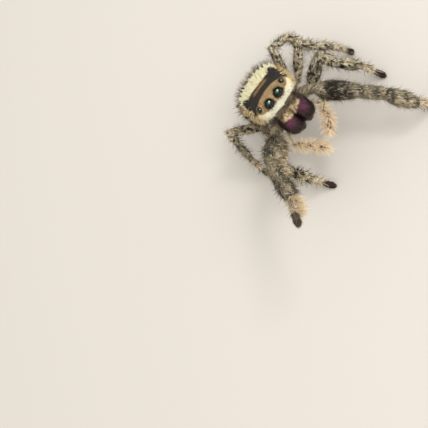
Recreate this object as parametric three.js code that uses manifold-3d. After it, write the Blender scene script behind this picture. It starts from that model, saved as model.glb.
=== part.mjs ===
// An adult female jumping spider as a still, life-size model, in millimetres, +Z up.
// She faces -Y with her left side at +X, rears her head and waves her right foreleg.
// Every solid reaches out to the tips of the short coat that covers it.
import * as THREE from 'three';
import { mergeVertices } from 'three/addons/utils/BufferGeometryUtils.js';
import Module from 'manifold-3d';

const wasm = await Module();
wasm.setup();

// ---- driving dimensions ------------------------------------------------------------------
const eyeHeight = 9.3; // middle of the two big eyes above the floor
const headPitch = 30; // degrees that the head shield rears up
const abdomenSlope = 66; // degrees that the abdomen hangs down behind
const seam = 0.04; // gap between two neighbouring pieces
const shieldWidth = 5.6; // head shield, across its coat
const shieldLength = 6.6;
const browHeight = 0.86; // top of the head shield above the big eyes
const shieldFloor = -2.05; // lower edge of the head shield
const bigEye = { radius: 0.55, x: 0.69, back: -0.02, z: 0 };
const sideEye = { radius: 0.27, x: 1.74, back: 0.04, z: 0.4 };
const smallEye = { radius: 0.12, x: 2.16, back: 1.35, z: 0.66 };
const rearEye = { radius: 0.28, x: 2.06, back: 2.5, z: 0.78 };
const abdomenLength = 4.35;
const abdomenWidth = 4.2;
const abdomenHeight = 3.2;
const padHeight = 0.04; // middle of a foot's tip above the floor

// Leg pairs from front to back. Each has five parts: femur, patella, tibia, metatarsus and
// tarsus, with their lengths and their half widths across the coat. The root is the point
// [outward, back, up] from the big eyes, in the head's own frame, where the leg leaves its coxa.
// The waving right foreleg spreads its coat, so its parts are wider by the factors in waving.
const partNames = ['femur', 'patella', 'tibia', 'metatarsus', 'tarsus'];
const pairs = [
  {
    root: [2.95, 0.35, -3.3],
    lengths: [4.6, 2.75, 3.1, 2.0, 1.3],
    halfWidths: [1.12, 0.8, 0.95, 0.5, 0.42],
    waving: [1.13, 1.24, 1.02, 1, 1],
  },
  {
    root: [2.95, 1.5, -3.6],
    lengths: [3.35, 2.1, 2.4, 1.75, 1.5],
    halfWidths: [0.83, 0.65, 0.7, 0.44, 0.4],
  },
  {
    root: [2.95, 3.2, -2.95],
    lengths: [3.7, 1.8, 2.1, 2.0, 1.35],
    halfWidths: [0.62, 0.5, 0.52, 0.4, 0.38],
  },
  {
    root: [2.4, 4.7, -2.8],
    lengths: [3.6, 1.95, 2.5, 2.25, 1.2],
    halfWidths: [0.6, 0.49, 0.52, 0.38, 0.36],
  },
];

// Directions of the five parts in degrees: [forward of straight out, above level]. A tarsus
// with one number stands on the floor, so its slope follows from its height.
const stance = {
  left: [
    [[55, -17], [62, -7], [67, -30], [22, -66], [53]],
    [[-18, 3], [68, -42], [51, -38], [65, -55], [70]],
    [[-32, 15], [52, -48], [30, -54], [41, -62], [50]],
    [[-58, 31], [10, -16], [8, -82], [-20, -75], [-20]],
  ],
  right: [
    [[54, 40], [70, 26], [79, 25], [61, 24], [54, -6]],
    [[44, -19], [99, 14], [129, -74], [118, -60], [115]],
    [[-41, 14], [54, -65], [72, -41], [76, -59], [76]],
    [[-82, -19], [70, -52], [88, -24], [60, -9], [20]],
  ],
};

// ---- geometry helpers --------------------------------------------------------------------
function closed(geometry) {
  geometry.deleteAttribute('normal');
  geometry.deleteAttribute('uv');
  const merged = mergeVertices(geometry, 1e-4);
  merged.computeVertexNormals();
  return merged;
}

function toManifold(geometry) {
  const bare = geometry.clone();
  bare.deleteAttribute('normal');
  const mesh = new wasm.Mesh({
    numProp: 3,
    vertProperties: new Float32Array(bare.attributes.position.array),
    triVerts: new Uint32Array(bare.index.array),
  });
  return new wasm.Manifold(mesh);
}

function fromManifold(manifold) {
  const mesh = manifold.getMesh();
  const geometry = new THREE.BufferGeometry();
  geometry.setAttribute('position', new THREE.BufferAttribute(mesh.vertProperties, 3));
  geometry.setIndex(new THREE.BufferAttribute(mesh.triVerts, 1));
  geometry.computeVertexNormals();
  return geometry;
}

function joined(geometries) {
  const [first, ...rest] = geometries.map(toManifold);
  return fromManifold(rest.reduce((sum, next) => sum.add(next), first));
}

// A lofted body along y. Each station is [y, half width, top, bottom, middle x]; the section
// is a rounded box whose upper and lower corners grow squarer with the two exponents.
function loft(stations, around, rows, upper, lower = upper) {
  const track = (column) => new THREE.SplineCurve(
    stations.map((station) => new THREE.Vector2(station[0], station[column] ?? 0)),
  );
  const [widths, tops, bottoms, middles] = [1, 2, 3, 4].map(track);
  const geometry = new THREE.CylinderGeometry(1, 1, 1, around, rows);
  const position = geometry.attributes.position;
  const squared = (value, exponent) => Math.sign(value) * Math.abs(value) ** (2 / exponent);
  for (let i = 0; i < position.count; i += 1) {
    const along = position.getY(i) + 0.5;
    const { x: y, y: halfWidth } = widths.getPoint(along);
    const top = tops.getPoint(along).y;
    const bottom = bottoms.getPoint(along).y;
    const corner = position.getZ(i) > 0 ? upper : lower;
    const x = middles.getPoint(along).y + halfWidth * squared(position.getX(i), corner);
    const z = (top + bottom) / 2 + ((top - bottom) / 2) * squared(position.getZ(i), corner);
    position.setXYZ(i, x, y, z);
  }
  return closed(geometry);
}

// One limb part from one joint to the next. Each end is cut on the plane that halves the bend
// there, and the swelling between its ends follows half a sine wave.
function limb({ from, to, cuts = [null, null], radius, ends, sides = 9, rows = 4, gap = seam }) {
  const axis = to.clone().sub(from);
  const length = axis.length();
  axis.normalize();
  const sideways = new THREE.Vector3(0, 0, 1).cross(axis).normalize();
  const upward = axis.clone().cross(sideways);
  const swell = (s) => {
    const plain = THREE.MathUtils.lerp(ends[0], ends[1], s);
    return radius * (plain + (1 - plain) * Math.sin(Math.PI * s) ** 0.7);
  };
  const reach = (cut, inward, out, endRadius) => {
    if (!cut) return 0;
    const slide = (inward * gap / 2 - endRadius * cut.dot(out)) / cut.dot(axis);
    return inward > 0 ? Math.max(slide, -0.45 * radius) : Math.min(slide, 0.45 * radius);
  };
  const geometry = new THREE.CylinderGeometry(1, 1, 1, sides, rows);
  const position = geometry.attributes.position;
  for (let i = 0; i < position.count; i += 1) {
    const s = 0.5 - position.getY(i);
    const out = sideways.clone().multiplyScalar(position.getX(i));
    out.addScaledVector(upward, position.getZ(i));
    const start = reach(cuts[0], 1, out, swell(0));
    const end = length + reach(cuts[1], -1, out, swell(1));
    const place = from.clone().addScaledVector(axis, THREE.MathUtils.lerp(start, end, s));
    place.addScaledVector(out, swell(s));
    position.setXYZ(i, place.x, place.y, place.z);
  }
  return closed(geometry);
}

// The plane normals at the joints of a chain of points; the two free ends have none.
function bendPlanes(points) {
  return points.map((point, i) => {
    if (i === 0 || i === points.length - 1) return null;
    const before = point.clone().sub(points[i - 1]).normalize();
    const after = points[i + 1].clone().sub(point).normalize();
    return before.add(after).normalize();
  });
}

// Whatever presses into the floor is cut off level with it, which gives each foot its flat.
function standOnFloor(geometry) {
  return fromManifold(toManifold(geometry).trimByPlane([0, 0, 1], 0));
}

// ---- materials ---------------------------------------------------------------------------
function material(color, roughness) {
  return new THREE.MeshStandardMaterial({ color, roughness, metalness: 0 });
}

const creamHair = material('#efe3b8', 0.85);
const greyHair = material('#8c8770', 0.85);
const paleHair = material('#e3c096', 0.85);
const peachHair = material('#f3d2a4', 0.85);
const darkTip = material('#33211f', 0.8);
const abdomenHair = material('#8d8678', 0.85);
const blackLens = material('#0b0d0c', 0.08);
const amethyst = new THREE.MeshStandardMaterial({
  color: '#5d2a4c',
  roughness: 0.28,
  metalness: 0.35,
});
const partMaterials = [greyHair, greyHair, greyHair, paleHair, darkTip];

// ---- assembly ----------------------------------------------------------------------------
const spider = new THREE.Group();
const head = new THREE.Group();
head.position.z = eyeHeight;
head.rotation.x = -THREE.MathUtils.degToRad(headPitch);
head.updateMatrix();
spider.add(head);

function add(parent, name, geometry, finish) {
  const mesh = new THREE.Mesh(geometry, finish);
  mesh.name = name;
  parent.add(mesh);
  return mesh;
}

const sides = [
  { name: 'left', sign: 1 },
  { name: 'right', sign: -1 },
];

// The points of one leg: the inner end of its coxa, its root and the far end of each part.
function legPoints(pair, index, sign, directions) {
  const [x, back, up] = pair.root;
  const points = [
    new THREE.Vector3(sign * 0.7, 2.1 + 0.85 * index, -2.95).applyMatrix4(head.matrix),
    new THREE.Vector3(sign * x, back, up).applyMatrix4(head.matrix),
  ];
  directions.forEach(([forward, above], i) => {
    const last = points[i + 1];
    const length = pair.lengths[i];
    const slope = above === undefined
      ? Math.asin((padHeight - last.z) / length)
      : THREE.MathUtils.degToRad(above);
    const turn = THREE.MathUtils.degToRad(forward);
    points.push(new THREE.Vector3(
      last.x + sign * length * Math.cos(slope) * Math.cos(turn),
      last.y - length * Math.cos(slope) * Math.sin(turn),
      last.z + length * Math.sin(slope),
    ));
  });
  return points;
}

const legs = pairs.flatMap((pair, index) => sides.map((side) => {
  const points = legPoints(pair, index, side.sign, stance[side.name][index]);
  return { pair, number: index + 1, side, points, planes: bendPlanes(points) };
}));

// Eyes: four pairs of round lenses, each seated in a socket of the head shield.
function addEyes() {
  const kinds = [
    { name: 'big_front', eye: bigEye, around: 14 },
    { name: 'side_front', eye: sideEye, around: 10 },
    { name: 'small_middle', eye: smallEye, around: 6 },
    { name: 'rear', eye: rearEye, around: 10 },
  ];
  const sockets = [];
  for (const { name, eye, around } of kinds) {
    for (const side of sides) {
      const lens = new THREE.SphereGeometry(eye.radius, around, around / 2 + 1);
      lens.rotateX(Math.PI / 2);
      lens.translate(side.sign * eye.x, eye.back, eye.z);
      add(head, `eye_${name}_${side.name}`, closed(lens), blackLens);
      const socket = new THREE.SphereGeometry(eye.radius + seam, around, around / 2 + 1);
      socket.rotateX(Math.PI / 2);
      socket.translate(side.sign * eye.x, eye.back, eye.z);
      sockets.push(closed(socket));
    }
  }
  return sockets;
}

// The head shield: a steep face, a nearly flat top and a slope down to the waist.
function addHeadShield(sockets) {
  const half = shieldWidth / 2;
  const stations = [
    [-0.22, 0.58 * half, 0.55, -1.15],
    [0.0, 0.76 * half, 0.74, -1.36],
    [0.6, 0.91 * half, browHeight, -1.55],
    [1.5, 0.98 * half, 1.0, -1.9],
    [2.6, half, 1.12, shieldFloor],
    [3.8, half, 1.22, shieldFloor],
    [4.8, 0.9 * half, 0.9, shieldFloor],
    [5.8, 0.64 * half, -0.3, shieldFloor],
    [shieldLength - 0.22, 0.28 * half, -1.2, shieldFloor],
  ];
  let shield = toManifold(loft(stations, 24, 11, 2.6, 4));
  for (const socket of sockets) shield = shield.subtract(toManifold(socket));
  add(head, 'head_shield', fromManifold(shield), creamHair);
}

// The underside: the breast plate with a coxa running out to the root of each leg.
function addUnderside() {
  const plate = new THREE.SphereGeometry(1, 16, 8);
  plate.scale(1.25, 2.3, 0.5);
  plate.translate(0, 3.2, -2.85);
  plate.applyMatrix4(head.matrix);
  const pieces = [closed(plate)];
  for (const { pair, points, planes } of legs) {
    pieces.push(limb({
      from: points[0],
      to: points[1],
      cuts: [null, planes[1]],
      radius: 0.38 + 0.12 * pair.halfWidths[0],
      ends: [0.8, 0.8],
      rows: 2,
    }));
  }
  add(spider, 'breast_plate', joined(pieces), greyHair);
}

// The jaws: two stout upright barrels under the face, each with a small folded fang.
function addJaws() {
  for (const { name, sign } of sides) {
    const stations = [
      [0, 0.84, 0.66, -0.62, 0.92],
      [0.35, 0.93, 0.78, -0.68, 0.96],
      [1.3, 0.97, 0.84, -0.7, 0.99],
      [2.3, 0.93, 0.74, -0.62, 0.95],
      [2.85, 0.76, 0.5, -0.4, 0.83],
      [3.05, 0.42, 0.24, -0.18, 0.72],
    ];
    const barrel = loft(stations, 16, 6, 2.2);
    barrel.rotateX(-Math.PI / 2 - 0.12);
    barrel.scale(sign, 1, 1);
    if (sign < 0) barrel.index.array.reverse();
    barrel.translate(0, -0.12, -1.6);
    barrel.computeVertexNormals();
    add(head, `jaw_${name}`, barrel, amethyst);
    const fang = limb({
      from: new THREE.Vector3(sign * 0.82, -0.28, -4.84),
      to: new THREE.Vector3(sign * 0.24, 0.1, -5.05),
      radius: 0.16,
      ends: [0.9, 0.3],
      sides: 8,
      rows: 3,
    });
    add(head, `fang_${name}`, fang, darkTip);
  }
}

// The palps: short feelers of four parts that hang in front of the mouth, tips together.
function addPalps() {
  const paths = {
    left: [[1.75, 0.75, -4.1], [2.4, -0.5, -4.65], [2.0, -1.45, -4.95], [1.5, -2.05, -5.5],
      [0.2, -2.75, -6.05]],
    right: [[1.75, 0.75, -4.1], [2.6, -0.6, -4.6], [2.0, -1.5, -5.35], [1.4, -2.1, -6.05],
      [0.7, -2.8, -7.2]],
  };
  for (const { name, sign } of sides) {
    const points = paths[name].map(([x, y, z]) => new THREE.Vector3(sign * x, y, z));
    const planes = bendPlanes(points);
    const shapes = [[0.36, 0.8, 0.9], [0.5, 0.8, 0.9], [0.56, 0.85, 0.9], [0.6, 0.8, 0.45]];
    const pieces = shapes.map(([radius, start, end], i) => limb({
      from: points[i],
      to: points[i + 1],
      cuts: [planes[i], planes[i + 1]],
      radius,
      ends: [start, end],
      sides: 9,
      rows: 3,
      gap: -0.1,
    }));
    add(head, `palp_${name}`, joined(pieces), peachHair);
  }
}

// The waist and the abdomen, which hangs behind until its spinnerets touch the floor.
function addAbdomen() {
  const start = new THREE.Vector3(0, shieldLength - 0.22 + seam, -1.72);
  const end = new THREE.Vector3(0, shieldLength + 0.25, -1.78);
  add(head, 'waist', limb({ from: start, to: end, radius: 0.34, ends: [1, 0.9], rows: 1 }), greyHair);

  const hang = new THREE.Matrix4().makeRotationX(-THREE.MathUtils.degToRad(abdomenSlope));
  hang.setPosition(end.clone().applyMatrix4(head.matrix));
  const half = abdomenWidth / 2;
  const tall = abdomenHeight / 2;
  const stations = [
    [0.14, 0.28 * half, 0.2 * tall, -0.34 * tall],
    [0.34, 0.62 * half, 0.6 * tall, -0.62 * tall],
    [0.9, 0.87 * half, 0.87 * tall, -0.86 * tall],
    [1.8, half, tall, -tall],
    [2.7, 0.98 * half, 0.98 * tall, -0.98 * tall],
    [3.5, 0.8 * half, 0.8 * tall, -0.82 * tall],
    [4.0, 0.56 * half, 0.54 * tall, -0.6 * tall],
    [abdomenLength - 0.1, 0.3 * half, 0.16 * tall, -0.34 * tall],
  ];
  const body = loft(stations, 24, 10, 2.1).applyMatrix4(hang);
  add(spider, 'abdomen', standOnFloor(body), abdomenHair);

  const tip = new THREE.Vector3(0, abdomenLength - 0.1 + 2.5 * seam, -0.2);
  const spinnerets = limb({
    from: tip,
    to: tip.clone().add(new THREE.Vector3(0, 0.5, -0.22)),
    radius: 0.34,
    ends: [1, 0.7],
    rows: 2,
  });
  spinnerets.applyMatrix4(hang);
  add(spider, 'spinnerets', standOnFloor(spinnerets), abdomenHair);
}

function addLeg({ pair, number, side, points, planes }) {
  const ends = [[0.5, 0.74], [0.74, 0.76], [0.72, 0.68], [0.86, 0.84], [0.86, 0.55]];
  partNames.forEach((part, i) => {
    const geometry = limb({
      from: points[i + 1],
      to: points[i + 2],
      cuts: [planes[i + 1], planes[i + 2]],
      radius: pair.halfWidths[i] * (side.name === 'right' && pair.waving ? pair.waving[i] : 1),
      ends: ends[i],
      sides: 10,
      rows: i === 0 ? 5 : 4,
    });
    const solid = part === 'tarsus' ? standOnFloor(geometry) : geometry;
    add(spider, `leg${number}_${side.name}_${part}`, solid, partMaterials[i]);
  });
}

addHeadShield(addEyes());
addUnderside();
addJaws();
addPalps();
addAbdomen();
for (const leg of legs) addLeg(leg);

// The origin is the middle of the footprint, on the floor.
const box = new THREE.Box3().setFromObject(spider);
const middle = box.getCenter(new THREE.Vector3());
spider.position.set(-middle.x, -middle.y, -box.min.z);

export default spider;
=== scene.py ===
"""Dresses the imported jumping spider: skin, eyes, jaws, coat, claws and a small studio.

The CAD nodes give every place. One skin grows over the flesh nodes, and thousands of thin tufts
stand on it. Skin and coat take their colours from the same markings.
"""

import math

import bpy
import numpy as np
from bpy.props import FloatProperty, FloatVectorProperty, PointerProperty
from mathutils import Matrix, Vector
from mathutils.bvhtree import BVHTree


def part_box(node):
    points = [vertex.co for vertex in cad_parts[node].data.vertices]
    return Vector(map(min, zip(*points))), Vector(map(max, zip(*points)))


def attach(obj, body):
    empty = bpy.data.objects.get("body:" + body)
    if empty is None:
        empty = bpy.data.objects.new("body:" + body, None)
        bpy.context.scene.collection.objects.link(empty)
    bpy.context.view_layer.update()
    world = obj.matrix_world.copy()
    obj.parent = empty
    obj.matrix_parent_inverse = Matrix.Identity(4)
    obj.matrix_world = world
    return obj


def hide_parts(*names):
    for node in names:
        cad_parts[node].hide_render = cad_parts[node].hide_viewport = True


bl_info = {
    "name": "Jumping Spider",
    "version": (1, 0, 0),
    "blender": (4, 5, 0),
    "location": "3D View > Sidebar > Spider",
    "description": "Makes the skin, eyes, jaws, coat and studio of a life-size jumping spider",
    "category": "Object",
}

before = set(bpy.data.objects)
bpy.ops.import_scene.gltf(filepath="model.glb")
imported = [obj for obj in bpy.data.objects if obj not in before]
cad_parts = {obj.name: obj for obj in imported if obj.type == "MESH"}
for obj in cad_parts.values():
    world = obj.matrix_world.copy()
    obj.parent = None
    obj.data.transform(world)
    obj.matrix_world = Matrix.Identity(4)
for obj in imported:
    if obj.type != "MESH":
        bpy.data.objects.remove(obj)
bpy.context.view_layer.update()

MM = 0.001
HEAD_PITCH = math.radians(30)  # how far the head rears up
ABDOMEN_SLOPE = math.radians(66)  # how steeply the abdomen hangs
SIDES = ("left", "right")
PARTS = ("femur", "patella", "tibia", "metatarsus", "tarsus")
EYE_ROWS = ("big_front", "side_front", "small_middle", "rear")
EYE_RIMS = (0.03, 0.04, 0.05, 0.08)  # width of the dark rim round each lens, in millimetres
# Which way the left eyes look, in the head's frame
OUTLOOKS = ((0.0, -0.8, 0.6), (0.5, -0.86, 0.1), (0.9, -0.2, 0.4), (0.9, 0.3, 0.3))
# GLINT points to where the painted highlight sits on each lens
GLINT = (0.34, -0.27, 0.9)  # towards the small lamp
LEGS = [f"leg{number}_{side}" for number in (1, 2, 3, 4) for side in SIDES]
LIMB_NODES = [f"{leg}_{part}" for leg in LEGS for part in PARTS]
FLESH = ["head_shield", "breast_plate", "waist", "abdomen", "spinnerets", "palp_left", "palp_right"]
FLESH += LIMB_NODES


def shade(code):
    """The linear colour of a six-figure display colour."""
    parts = [int(code[i : i + 2], 16) / 255 for i in (0, 2, 4)]
    return tuple(p / 12.92 if p <= 0.04045 else ((p + 0.055) / 1.055) ** 2.4 for p in parts)


def colour(name, description, code):
    return FloatVectorProperty(
        name=name, description=description, subtype="COLOR", size=3, min=0, max=1, default=shade(code)
    )


def length(name, description, millimetres):
    return FloatProperty(
        name=name, description=description, unit="LENGTH", min=0, default=millimetres * MM, precision=5
    )


# ---- settings ------------------------------------------------------------------------------
class SpiderColours(bpy.types.PropertyGroup):
    """Colours of the coat, the shell and the eyes."""

    charcoal: colour("Charcoal", "Dark band across the top of the head", "332e2a")
    umber: colour("Umber", "Narrow patch inside the dark band", "8a6a44")
    cream: colour("Cream", "Zone behind the dark band", "fff5c2")
    fawn: colour("Fawn", "Hair round the eyes", "b3966b")
    blush: colour("Blush", "Hair between the big eyes", "e8cb9c")
    ivory: colour("Ivory", "Band under the eyes", "fff8dc")
    straw: colour("Straw", "Ends of the band under the eyes", "f9dfa4")
    cheek: colour("Cheek", "Sides of the head", "f6dbad")
    tan: colour("Tan", "Lower cheeks", "d3b083")
    slate: colour("Slate", "Ground colour of the legs", "c2ae8b")
    beige: colour("Beige", "Pale flecks of the legs", "fbe7c0")
    soot: colour("Soot", "Dark flecks and rings of the legs", "231c18")
    moss: colour("Moss", "Ground colour of the forelegs", "a2967c")
    peach: colour("Peach", "Feelers and the pale leg parts", "ffe7c6")
    olive: colour("Olive", "Dark spots on the feelers", "8a6a40")
    boot: colour("Boot", "Feet", "4e342d")
    ash: colour("Ash", "Ground colour of the abdomen", "a39b8c")
    chalk: colour("Chalk", "Spots and front band of the abdomen", "fbf3dc")
    # jaws: their own purple, with painted sheen brightest on the front and darker towards the edges
    orchid: colour("Orchid", "Brightest part of the jaws", "63294b")
    plum: colour("Plum", "Middle part of the jaws", "3a1526")
    maroon: colour("Maroon", "Edges of the jaws", "220e0e")
    # emerald is painted reflection: the green that shines from inside the big eyes
    emerald: colour("Emerald", "Glow inside the big eyes", "1c9c6e")


class SpiderCoat(bpy.types.PropertyGroup):
    """Sizes of the coat."""

    face_length: length("Face hair", "Length of the hair on the face", 0.19)
    crown_length: length("Crown hair", "Length of the hair on top of the head", 0.34)
    cheek_length: length("Cheek hair", "Length of the hair on the cheeks", 0.5)
    leg_length: length("Leg hair", "Length of the short hair on the legs", 0.26)
    bristle_length: length("Bristles", "Length of the fine bristles that stand out", 0.8)
    feeler_length: length("Feeler hair", "Length of the brush on the feelers", 0.78)
    abdomen_length: length("Abdomen hair", "Length of the hair on the abdomen", 0.38)
    density: FloatProperty(
        name="Density", description="Tufts, as a share of the full coat", min=0.02, max=1.5, default=1
    )


class SpiderStudio(bpy.types.PropertyGroup):
    """Camera and light."""

    camera_height: FloatProperty(
        name="Camera height", description="How far above level the camera looks from",
        subtype="ANGLE", default=math.radians(60),
    )
    camera_roll: FloatProperty(
        name="Camera roll", description="Turn of the camera about its line of sight",
        subtype="ANGLE", default=math.radians(54),
    )
    camera_distance: length("Camera distance", "From the camera to the big eyes", 95)
    lens: FloatProperty(
        name="Lens", description="Focal length on a sensor 36 mm wide", unit="CAMERA", default=79.9
    )
    eyes_right: FloatProperty(
        name="Eyes right", description="Place of the eyes right of the middle, as a share of the frame",
        default=0.1386,
    )
    eyes_up: FloatProperty(
        name="Eyes up", description="Place of the eyes above the middle, as a share of the frame",
        default=0.2717,
    )
    front_watts: FloatProperty(
        name="Front light", description="Power of the broad light in front", unit="POWER", default=0.12
    )
    key_watts: FloatProperty(
        name="Key light", description="Power of the small lamp that sparkles in the eyes",
        unit="POWER", default=0.045,
    )
    sky: FloatProperty(name="Sky", description="Strength of the even light all round", default=0.86)
    floor: colour("Floor", "Colour of the floor", "e2dcd3")


# ---- small helpers -------------------------------------------------------------------------
def make_active(obj):
    """Selects one object alone."""
    bpy.ops.object.select_all(action="DESELECT")
    obj.select_set(True)
    bpy.context.view_layer.objects.active = obj


def apply_modifier(obj, kind, **settings):
    make_active(obj)
    modifier = obj.modifiers.new(kind.title(), kind)
    for key, value in settings.items():
        setattr(modifier, key, value)
    bpy.ops.object.modifier_apply(modifier=modifier.name)


def in_edit_mode(obj, *steps):
    """Runs mesh operators on the whole of one object."""
    make_active(obj)
    bpy.ops.object.mode_set(mode="EDIT")
    bpy.ops.mesh.select_all(action="SELECT")
    for step, settings in steps:
        step(**settings)
    bpy.ops.object.mode_set(mode="OBJECT")


def finish_piece(obj, slot, *replaced):
    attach(obj, "root")
    if replaced:
        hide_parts(*replaced)


def unit(vectors):
    return vectors / np.maximum(np.linalg.norm(vectors, axis=-1, keepdims=True), 1e-12)


def dot(a, b):
    return (a * b).sum(-1)


def ramp(low, high, value):
    """0 below low, 1 above high, and smooth between."""
    t = np.clip((value - low) / (high - low), 0, 1)
    return t * t * (3 - 2 * t)


def bump(middle, half, value, edge=0.35):
    """1 within half of the middle, falling to 0 over a soft edge."""
    return 1 - ramp(half * (1 - edge), half * (1 + edge), np.abs(value - middle))


def blotches(points, size, seed):
    """A smooth field from about -1 to 1 whose patches are size across, in metres."""
    rng = np.random.default_rng(seed)
    total = np.zeros(len(points))
    for _ in range(14):
        wave = unit(rng.normal(size=3)) * math.pi / size * rng.uniform(0.6, 1.5)
        total += np.sin(points @ wave + rng.uniform(0, 2 * math.pi))
    return np.clip(total / 3.2, -1, 1)


def node_points(node):
    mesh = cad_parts[node].data
    points = np.empty(len(mesh.vertices) * 3, np.float32)
    mesh.vertices.foreach_get("co", points)
    return points.reshape(-1, 3).astype(float)


def node_surface(node, count=3000):
    """Even points on a CAD node's surface."""
    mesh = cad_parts[node].data
    mesh.calc_loop_triangles()
    corners = np.empty(len(mesh.loop_triangles) * 3, np.int32)
    mesh.loop_triangles.foreach_get("vertices", corners)
    triangles = node_points(node)[corners.reshape(-1, 3)]
    return scattered(triangles, count, np.random.default_rng(1))[0]


def scattered(triangles, count, rng, weights=None):
    """Random points on triangles, with the triangle and the three shares of each."""
    sides = triangles[:, 1] - triangles[:, 0], triangles[:, 2] - triangles[:, 0]
    area = np.linalg.norm(np.cross(*sides), axis=1) / 2
    if weights is not None:
        area = area * weights
    chosen = rng.choice(len(triangles), size=count, p=area / area.sum())
    a, b = rng.random((2, count))
    fold = a + b > 1
    a, b = np.where(fold, 1 - a, a), np.where(fold, 1 - b, b)
    shares = np.stack([1 - a - b, a, b], 1)
    return (triangles[chosen] * shares[:, :, None]).sum(1), chosen, shares


# ---- where things are ----------------------------------------------------------------------
FACE_EDGE = 0.62  # where the face ends and the top of the head begins, in millimetres back from the eyes


def middle_of(node):
    low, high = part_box(node)
    return np.array((low + high) / 2)


def eye_place(row, side):
    low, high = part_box(f"eye_{row}_{side}")
    return np.array((low + high) / 2), (high.x - low.x) / 2


EYES_MIDDLE = (middle_of("eye_big_front_left") + middle_of("eye_big_front_right")) / 2
HEAD_AXES = np.array(Matrix.Rotation(-HEAD_PITCH, 3, "X"))
ABDOMEN_AXES = np.array(Matrix.Rotation(-ABDOMEN_SLOPE, 3, "X"))


def head_space(points):
    """Right to left, back and up from the big eyes, in millimetres, in the head's own frame."""
    return (points - EYES_MIDDLE) @ HEAD_AXES / MM


def line_through(node, towards, slices=1):
    """Points on the middle line of a node, from its near end to its far end, and its length."""
    points = node_surface(node)
    along = points @ unit(towards)
    edges = np.linspace(along.min(), along.max(), slices + 1)
    line = []
    for low, high in zip(edges[:-1], edges[1:]):
        line.append(points[(along >= low) & (along <= high)].mean(0))
    return np.array(line), along.max() - along.min()


class Limb:
    """The middle line of one limb node, with the share of its length and the angle round it."""

    def __init__(self, node, towards, slices=1):
        line, span = line_through(node, towards, slices)
        if slices == 1:
            axis = unit(towards)
            self.line = np.array([line[0] - axis * span / 2, line[0] + axis * span / 2])
        else:
            self.line = line
        steps = np.linalg.norm(np.diff(self.line, axis=0), axis=1)
        self.travel = np.concatenate([[0], np.cumsum(steps)])

    def read(self, points):
        """(share along, direction, outward vector from the line) for each point."""
        best = np.full(len(points), np.inf)
        share = np.zeros(len(points))
        direction = np.zeros((len(points), 3))
        outward = np.zeros((len(points), 3))
        for i, (start, end) in enumerate(zip(self.line[:-1], self.line[1:])):
            step = end - start
            t = np.clip((points - start) @ step / (step @ step), 0, 1)
            apart = points - (start + t[:, None] * step)
            distance = np.linalg.norm(apart, axis=1)
            near = distance < best
            best[near] = distance[near]
            share[near] = (self.travel[i] + t[near] * np.linalg.norm(step)) / self.travel[-1]
            direction[near] = unit(step)
            outward[near] = apart[near]
        return share, direction, outward


def limb_guides():
    """A Limb for every leg part and both feelers."""
    guides = {}
    for leg in LEGS:
        middles = [middle_of(f"{leg}_{part}") for part in PARTS]
        for i, part in enumerate(PARTS):
            points = node_points(f"{leg}_{part}")
            centre = points.mean(0)
            before = middles[i - 1] if i else centre * 2 - middles[1]
            after = middles[i + 1] if i < 4 else centre * 2 - middles[3]
            axis = np.linalg.svd(points - centre, full_matrices=False)[2][0]
            if axis @ (after - before) < 0:
                axis = -axis
            guides[f"{leg}_{part}"] = Limb(f"{leg}_{part}", axis)
    for side in SIDES:
        guides[f"palp_{side}"] = Limb(f"palp_{side}", HEAD_AXES @ np.array([0, -1, -0.35]), 9)
    return guides


GUIDES = limb_guides()


def angle_round(direction, outward):
    """0 on the upper side of a limb and half a turn on its underside, from -pi to pi."""
    up = np.array([0, 0, 1]) - direction * direction[:, 2:3]
    up = unit(up)
    across = np.cross(direction, up)
    return np.arctan2(dot(outward, across), dot(outward, up))


ABDOMEN_POINTS = node_points("abdomen") @ ABDOMEN_AXES
ABDOMEN_LOW, ABDOMEN_HIGH = ABDOMEN_POINTS.min(0), ABDOMEN_POINTS.max(0)


def abdomen_space(points):
    """(-1 to 1 across, 0 to 1 from waist to tip, -1 to 1 up) in the abdomen's own frame."""
    share = (points @ ABDOMEN_AXES - ABDOMEN_LOW) / (ABDOMEN_HIGH - ABDOMEN_LOW)
    return share[:, 0] * 2 - 1, share[:, 1], share[:, 2] * 2 - 1


# ---- markings ------------------------------------------------------------------------------
def palette():
    colours = bpy.context.scene.spider_colours
    return {key: np.array(getattr(colours, key)) for key in SpiderColours.__annotations__}


def blend_in(base, colour_value, share):
    share = np.clip(share, 0, 1)[:, None]
    return base * (1 - share) + colour_value * share


def mixed(first, second, share):
    """One colour per share, from the first colour at 0 to the second at 1."""
    return blend_in(np.tile(first, (len(share), 1)), second, share)


class Layers:
    """Colours of some points: a ground with named colours laid over it."""

    def __init__(self, points, ground, tone=1.0):
        self.palette = palette()
        self.colours = np.tile(self.palette[ground] * tone, (len(points), 1))

    def lay(self, name, share, tone=1.0):
        self.colours = blend_in(self.colours, self.palette[name] * tone, share)


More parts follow.
